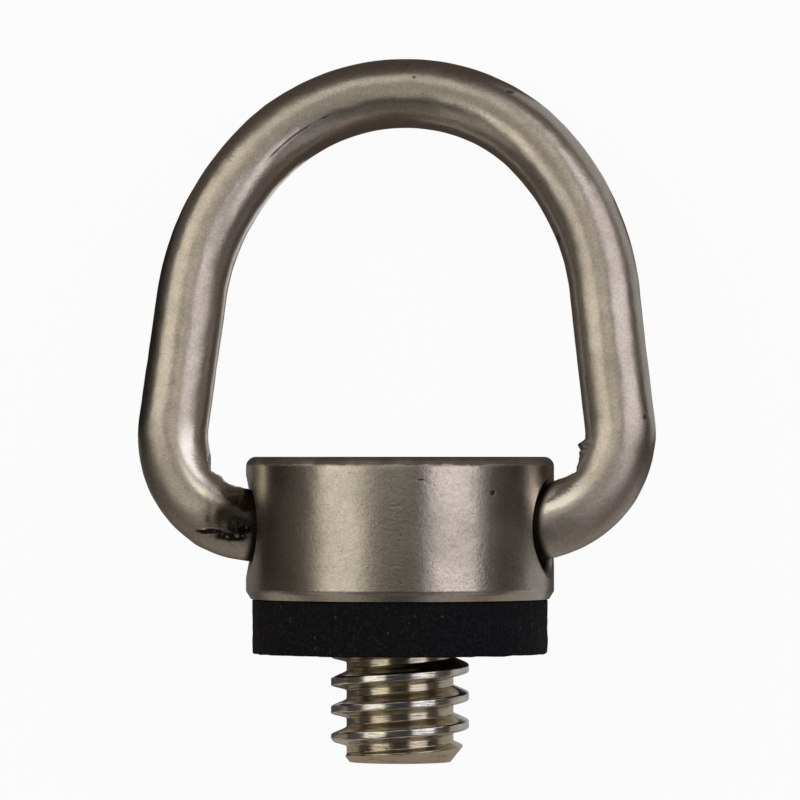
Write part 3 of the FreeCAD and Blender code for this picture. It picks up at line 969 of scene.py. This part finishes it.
def wear_on_wire(sizes, line, bend_angle, round_angle):
    """How scuffed, how rubbed and how lined by the die the wire is, from 0 to 1, along and round it;
    scuffed bends are also darker as painted shade, and rubbed places are smoother and lighter, the lighter
    colour a painted highlight.

    Each pair gives where wear is nought and where it is full: in degrees round the bend as in Dent, in
    degrees from the middle of a rubbed band, or as the cosine of where the wire faces.
    """
    bend = bend_angle[:, None]
    facing = np.degrees(round_angle)[None, :]

    # Painted highlight: lighter, smoother plate on the upper side of the right root and in a band round the
    # inner side of the left bend.
    root_start, root_facing, root_width = (-40.0, -58.0), 108.0, (32.0, 12.0)
    on_root = ease(bend, *root_start) * ease(np.abs(facing - root_facing), *root_width)
    band_start, band_end, band_width = (-58.0, -50.0), (8.0, -16.0), (17.6, 6.6)
    leg_facing, facing_per_bend = 125.0, 0.6
    off_band = np.abs(facing - (leg_facing + facing_per_bend * bend))
    on_band = ease(bend, *band_start) * ease(bend, *band_end) * ease(off_band, *band_width)
    rubbed = np.where(line[:, :1] > 0, on_root, on_band)

    # Painted shade: darker, rougher plate on the outer side of both lower bends.
    scuff_start, scuff_end, scuff_side, underside = (-92.0, -72.0), (10.0, -24.0), (-0.10, 0.25), -0.5
    on_bend = ease(bend, *scuff_start) * ease(bend, *scuff_end)
    on_outside = ease(np.cos(round_angle), *scuff_side) * (np.sin(round_angle) > underside)
    scuffed = on_bend * on_outside * (1.0 - rubbed)

    crown_middle = sizes.reach - sizes.crown_radius
    crown_angle = np.degrees(np.arctan2(line[:, 0], line[:, 1] - crown_middle))
    on_seam = ease(crown_angle, *SEAM_START) * ease(crown_angle, *SEAM_END)
    seam = np.zeros(rubbed.shape)
    seam[:, SEAM_COLUMN] = on_seam * np.clip(SEAM_SHARE + uneven(in_space(line), SEAM_BUMPS), 0.0, 1.0)
    return scuffed, rubbed, seam


def make_ring(sizes, screw_sizes, colours):
    """Bent wire, dropped about its hinge, with beaten bends and slightly uneven sides."""
    line, heading = ring_line(sizes, screw_sizes.head_radius)
    count = len(line)
    round_angle = np.arange(WIRE_COLUMNS) * 2 * math.pi / WIRE_COLUMNS
    along = np.concatenate([[0.0], np.cumsum(np.linalg.norm(np.diff(line, axis=0), axis=1))])
    to_end = np.minimum(along, along[-1] - along)
    plain_radius = sizes.wire_radius - np.clip(sizes.pin_chamfer - to_end, 0.0, None)
    bend_angle = angle_round_bend(sizes, screw_sizes.head_radius, line)
    radius, beaten = beaten_radius(line, bend_angle, round_angle, plain_radius)
    scuffed, rubbed, seam = wear_on_wire(sizes, line, bend_angle, round_angle)

    arch = ease(line[:, 1], sizes.bend_radius, sizes.reach)
    leaning = np.column_stack([sizes.lean * np.sin(math.pi * arch), np.zeros(count)])
    centre = in_space(line - leaning)
    outward = in_space(np.column_stack([heading[:, 1], -heading[:, 0]]))
    up = np.array([0.0, 0.0, 1.0])
    sideways = np.cos(round_angle)[None, :, None]
    upward = np.sin(round_angle)[None, :, None]
    normal = outward[:, None, :] * sideways + up * upward
    surface = centre[:, None, :] + normal * radius[:, :, None]
    flat = surface.reshape(-1, 3)
    wander = sizes.wander * uneven(flat, *WIRE_BUMPS)
    torn = beaten.reshape(-1) * uneven(flat, TORN_BUMPS)
    in_open = ease(to_end, sizes.pin_length, sizes.pin_length + sizes.bend_inset)
    push = (wander + torn).reshape(count, WIRE_COLUMNS) * in_open[:, None]
    surface = surface + normal * push[:, :, None]
    first, last = (np.repeat(centre[None, [index]], WIRE_COLUMNS, axis=1) for index in (0, -1))
    surface = np.vstack([first, surface, last])
    # The wear attributes also carry painted shade and a painted highlight.
    wear = {}
    for name, amount in zip(WEAR_AND_PAINTED_LIGHT, (beaten, scuffed, rubbed, seam)):
        wear[name] = np.pad(amount, ((1, 1), (0, 0))).reshape(-1)

    flat = surface.reshape(-1, 3)
    drop_cos, drop_sin = math.cos(sizes.drop), math.sin(sizes.drop)
    points = np.column_stack([
        flat[:, 0] - sizes.slide,
        screw_sizes.hinge_height + flat[:, 1] * drop_cos + flat[:, 2] * drop_sin,
        screw_sizes.hinge_offset - flat[:, 1] * drop_sin + flat[:, 2] * drop_cos,
    ])
    finish = satin_nickel(colours, screw_sizes, RING_HOLE_SHADE, RING_MARKS, BURNT_SPOTS, STAINS)
    return add_piece(
        "d_ring", points, quads(len(surface), WIRE_COLUMNS), [finish],
        "ring", sharp_angle=math.radians(50), wear=wear,
    )


# Stage


def add_flat(name, corners, material):
    """A flat sheet of the stage."""
    mesh = bpy.data.meshes.new(name)
    mesh.from_pydata(corners, [], [(0, 1, 2, 3)])
    mesh.materials.append(material)
    sheet = bpy.data.objects.new(name, mesh)
    bpy.context.scene.collection.objects.link(sheet)
    return sheet


def rectangle(west, east, south, north, level):
    """Corners of a level rectangle."""
    return [(west, south, level), (east, south, level), (east, north, level), (west, north, level)]


def floor_finish(colours, glow):
    """Pale floor that keeps its shadows and looks nearly white to the camera and in reflections."""
    finish = Finish("pale_floor")
    seen = 0.0
    for ray in ("Is Camera Ray", "Is Glossy Ray", "Is Transmission Ray"):
        seen = finish.math("MAXIMUM", finish.node("LightPath", output=ray), seen)
    plain = finish.node("BsdfDiffuse", {}, {"Color": opaque(colours.floor)})
    white = finish.node("Emission", {}, {"Color": (1.0, 1.0, 1.0, 1.0), "Strength": 1.0})
    shown = finish.node("MixShader", {}, {"Fac": seen * glow, "Shader": plain, "Shader_001": white})
    finish.node("OutputMaterial", {}, {"Surface": shown})
    return finish.material


class Softbox(NamedTuple):
    """A soft light that spans angles about the screw's axis, turn, and angles along the screw, lift."""

    name: str
    tint: str
    turn: tuple
    lift: tuple
    # Brightness and distance, against the main boxes.
    share: float
    nearness: float = 1.0


SOFTBOXES = (
    Softbox("left_softbox", "warm_light", turn=(-58, -21), lift=(-8, 12), share=1.06),
    Softbox("left_high_softbox", "warm_light", turn=(-86, -32), lift=(18, 60), share=0.86),
    Softbox("left_upper_softbox", "warm_light", turn=(-32, 12), lift=(37, 62), share=0.66),
    Softbox("crown_softbox", "warm_light", turn=(-18, 13), lift=(-3.5, 40), share=0.32, nearness=0.2),
    Softbox("right_softbox", "cool_light", turn=(26, 64), lift=(-6, 10), share=1.25),
    Softbox("right_high_softbox", "cool_light", turn=(22, 90), lift=(20, 68), share=0.9),
    Softbox("loop_softbox", "warm_light", turn=(-34, 30), lift=(-52, -30), share=0.09),
    Softbox("thread_left_softbox", "warm_light", turn=(-74, -34), lift=(-70, -18), share=0.26),
    Softbox("thread_right_softbox", "cool_light", turn=(34, 74), lift=(-70, -18), share=0.26),
)


def add_softbox(box, stage, tint):
    """An area light for a softbox."""
    distance = stage.light_distance * box.nearness
    middle = math.radians(sum(box.turn) / 2)
    width = 2 * distance * math.tan(math.radians(box.turn[1] - box.turn[0]) / 2)
    low, high = (distance * math.tan(math.radians(angle)) for angle in box.lift)
    light = bpy.data.lights.new(box.name, "AREA")
    light.shape = "RECTANGLE"
    light.size = width
    light.size_y = high - low
    light.color = tint
    light.energy = stage.light_radiance * box.share * math.pi * width * (high - low)
    lamp = bpy.data.objects.new(box.name, light)
    lamp.visible_camera = False
    bpy.context.scene.collection.objects.link(lamp)
    lamp.location = (
        distance * math.sin(middle),
        stage.aim_height + (low + high) / 2,
        distance * math.cos(middle),
    )
    lamp.rotation_euler = (0.0, middle, 0.0)
    return lamp


def add_card(name, corners, material):
    """A card that only reflections see."""
    card = add_flat(name, corners, material)
    card.visible_camera = False
    card.visible_diffuse = False
    card.visible_shadow = False
    card.visible_transmission = False
    return card


def add_cards(floor_level, colours):
    """Cards for the metal to reflect: uprights, and a sheet on the floor with a gap inside the left leg."""
    covers = {}
    for name in ("side_card", "crown_card", "thread_card", "stud_card", "right_card"):
        finish = Finish(name)
        cover = finish.node("Emission", {}, {"Color": opaque(getattr(colours, name)), "Strength": 1.0})
        finish.node("OutputMaterial", {}, {"Surface": cover})
        covers[name] = finish.material
    low, high, side_high = floor_level + 0.1 * MM, 30.0 * MM, 8.0 * MM
    left, right, start, end = -80.0 * MM, 80.0 * MM, -90.0 * MM, 110.0 * MM
    ring_start, ring_end = 0.0 * MM, 22.0 * MM
    stud_end, stud_middle = -4.5 * MM, 2.0 * MM
    strip_west, strip_east = -6.2 * MM, -4.2 * MM
    contour_west = -20.0 * MM
    leg_west, leg_east, leg_start = 12.6 * MM, 24.0 * MM, 10.0 * MM
    foot_east, foot_end = 32.0 * MM, 4.6 * MM
    shoulder_west, shoulder_end = 6.5 * MM, 36.0 * MM
    wing_start = 30.0 * MM
    for name, cover, west, east, south, north in (
        ("thread_card", "thread_card", left, right, start, stud_end),
        ("left_stud_card", "crown_card", left, stud_middle, stud_end, ring_start),
        ("right_stud_card", "stud_card", stud_middle, right, stud_end, ring_start),
        ("crown_card", "crown_card", left, shoulder_west, ring_end, end),
        ("shoulder_card", "stud_card", shoulder_west, leg_east, ring_end, shoulder_end),
        ("right_crown_card", "crown_card", leg_east, right, ring_end, shoulder_end),
        ("far_crown_card", "crown_card", shoulder_west, right, shoulder_end, end),
        ("left_card", "side_card", left, strip_west, leg_start, ring_end),
        ("left_bend_card", "side_card", left, contour_west, ring_start, leg_start),
        ("left_contour_card", "right_card", contour_west, strip_west, ring_start, leg_start),
        ("middle_card", "crown_card", strip_east, leg_west, ring_start, ring_end),
        ("right_card", "side_card", leg_east, right, foot_end, ring_end),
        ("right_foot_card", "stud_card", leg_west, foot_east, ring_start, foot_end),
        ("far_foot_card", "side_card", foot_east, right, ring_start, foot_end),
        ("right_bend_card", "crown_card", leg_west, leg_east, foot_end, leg_start),
        ("right_leg_card", "stud_card", leg_west, leg_east, leg_start, ring_end),
    ):
        add_card(name, rectangle(west, east, south, north, low), covers[cover])
    for name, cover, west, east, south, north, top in (
        ("left_wing", "side_card", left, left, ring_start, end, side_high),
        ("right_head_wing", "side_card", right, right, ring_start, wing_start, side_high),
        ("right_wing", "right_card", right, right, wing_start, end, side_high),
        ("left_thread_wing", "crown_card", left, left, start, ring_start, high),
        ("right_thread_wing", "crown_card", right, right, start, ring_start, high),
        ("thread_wing", "thread_card", left, right, start, start, high),
        ("crown_wing", "crown_card", left, right, end, end, high),
    ):
        corners = [(west, south, low), (east, north, low), (east, north, top), (west, south, top)]
        add_card(name, corners, covers[cover])


def add_camera(stage):
    """Camera above the part, at the photograph's angle and scale."""
    lens = bpy.data.cameras.new("camera")
    lens.sensor_width = 36.0
    lens.lens = lens.sensor_width * stage.camera_distance / stage.view_width
    lens.clip_start = 0.01
    lens.clip_end = 10.0
    camera = bpy.data.objects.new("camera", lens)
    bpy.context.scene.collection.objects.link(camera)
    camera.location = (
        stage.camera_distance * math.sin(stage.camera_turn), stage.camera_height,
        stage.camera_distance * math.cos(stage.camera_turn),
    )
    back = (camera.location - Vector((0.0, stage.aim_height, 0.0))).normalized()
    right = Vector((0.0, 1.0, 0.0)).cross(back).normalized()
    camera.rotation_euler = Matrix((right, back.cross(right), back)).transposed().to_euler()
    bpy.context.scene.camera = camera


def make_stage(stage, colours):
    """Floor, world, softboxes, cards and camera."""
    scene = bpy.context.scene
    scene.view_settings.view_transform = "Standard"
    floor_level = SCREW_LOW.z
    span = 2.0
    floor = rectangle(-span, span, -span, span, floor_level)
    add_flat("floor", floor, floor_finish(colours, stage.floor_glow))
    world = bpy.data.worlds.new("studio")
    world.use_nodes = True
    sky = world.node_tree.nodes["Background"]
    sky.inputs["Color"].default_value = (1.0, 1.0, 1.0, 1.0)
    sky.inputs["Strength"].default_value = stage.world_strength
    scene.world = world
    for box in SOFTBOXES:
        add_softbox(box, stage, getattr(colours, box.tint))
    add_cards(floor_level, colours)
    add_camera(stage)


# Operators and panel


class TRIPODSCREW_OT_screw(bpy.types.Operator):
    """Build the head with its cross-hole, neck and thread"""

    bl_idname = "tripodscrew.screw"
    bl_label = "Build Screw"

    def execute(self, context):
        settings = context.scene.tripod_screw
        make_screw(settings.screw, settings.colours)
        return {"FINISHED"}


class TRIPODSCREW_OT_washer(bpy.types.Operator):
    """Build the rubber washer"""

    bl_idname = "tripodscrew.washer"
    bl_label = "Build Washer"

    def execute(self, context):
        settings = context.scene.tripod_screw
        make_washer(settings.washer, settings.colours)
        return {"FINISHED"}


class TRIPODSCREW_OT_ring(bpy.types.Operator):
    """Build the D-ring of bent wire"""

    bl_idname = "tripodscrew.ring"
    bl_label = "Build Ring"

    def execute(self, context):
        settings = context.scene.tripod_screw
        make_ring(settings.ring, settings.screw, settings.colours)
        return {"FINISHED"}


class TRIPODSCREW_OT_stage(bpy.types.Operator):
    """Build the floor, lights, cards and camera"""

    bl_idname = "tripodscrew.stage"
    bl_label = "Build Stage"

    def execute(self, context):
        settings = context.scene.tripod_screw
        make_stage(settings.stage, settings.colours)
        return {"FINISHED"}


class TRIPODSCREW_PT_panel(bpy.types.Panel):
    """Sizes, colours and build steps of the tripod screw"""

    bl_label = "Tripod Screw"
    bl_space_type = "VIEW_3D"
    bl_region_type = "UI"
    bl_category = "Tripod Screw"

    def draw(self, context):
        settings = context.scene.tripod_screw
        for name, group in (
            ("Screw", settings.screw), ("Washer", settings.washer), ("Ring", settings.ring),
            ("Colours", settings.colours), ("Stage", settings.stage),
        ):
            box = self.layout.box()
            box.label(text=name)
            for key in group.__annotations__:
                box.prop(group, key)
        for operator in OPERATORS:
            self.layout.operator(operator.bl_idname)


OPERATORS = (TRIPODSCREW_OT_screw, TRIPODSCREW_OT_washer, TRIPODSCREW_OT_ring, TRIPODSCREW_OT_stage)
GROUPS = (ScrewSizes, WasherSizes, RingSizes, FinishColours, StageSizes, TripodScrewSettings)


def register():
    for kind in (*GROUPS, *OPERATORS, TRIPODSCREW_PT_panel):
        bpy.utils.register_class(kind)
    bpy.types.Scene.tripod_screw = PointerProperty(
        type=TripodScrewSettings, name="Tripod Screw", description="Its sizes and colours"
    )


def unregister():
    del bpy.types.Scene.tripod_screw
    for kind in reversed((*GROUPS, *OPERATORS, TRIPODSCREW_PT_panel)):
        bpy.utils.unregister_class(kind)


def main():
    register()
    bpy.ops.tripodscrew.screw()
    bpy.ops.tripodscrew.washer()
    bpy.ops.tripodscrew.ring()
    bpy.ops.tripodscrew.stage()
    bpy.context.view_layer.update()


if __name__ == "__main__":
    main()
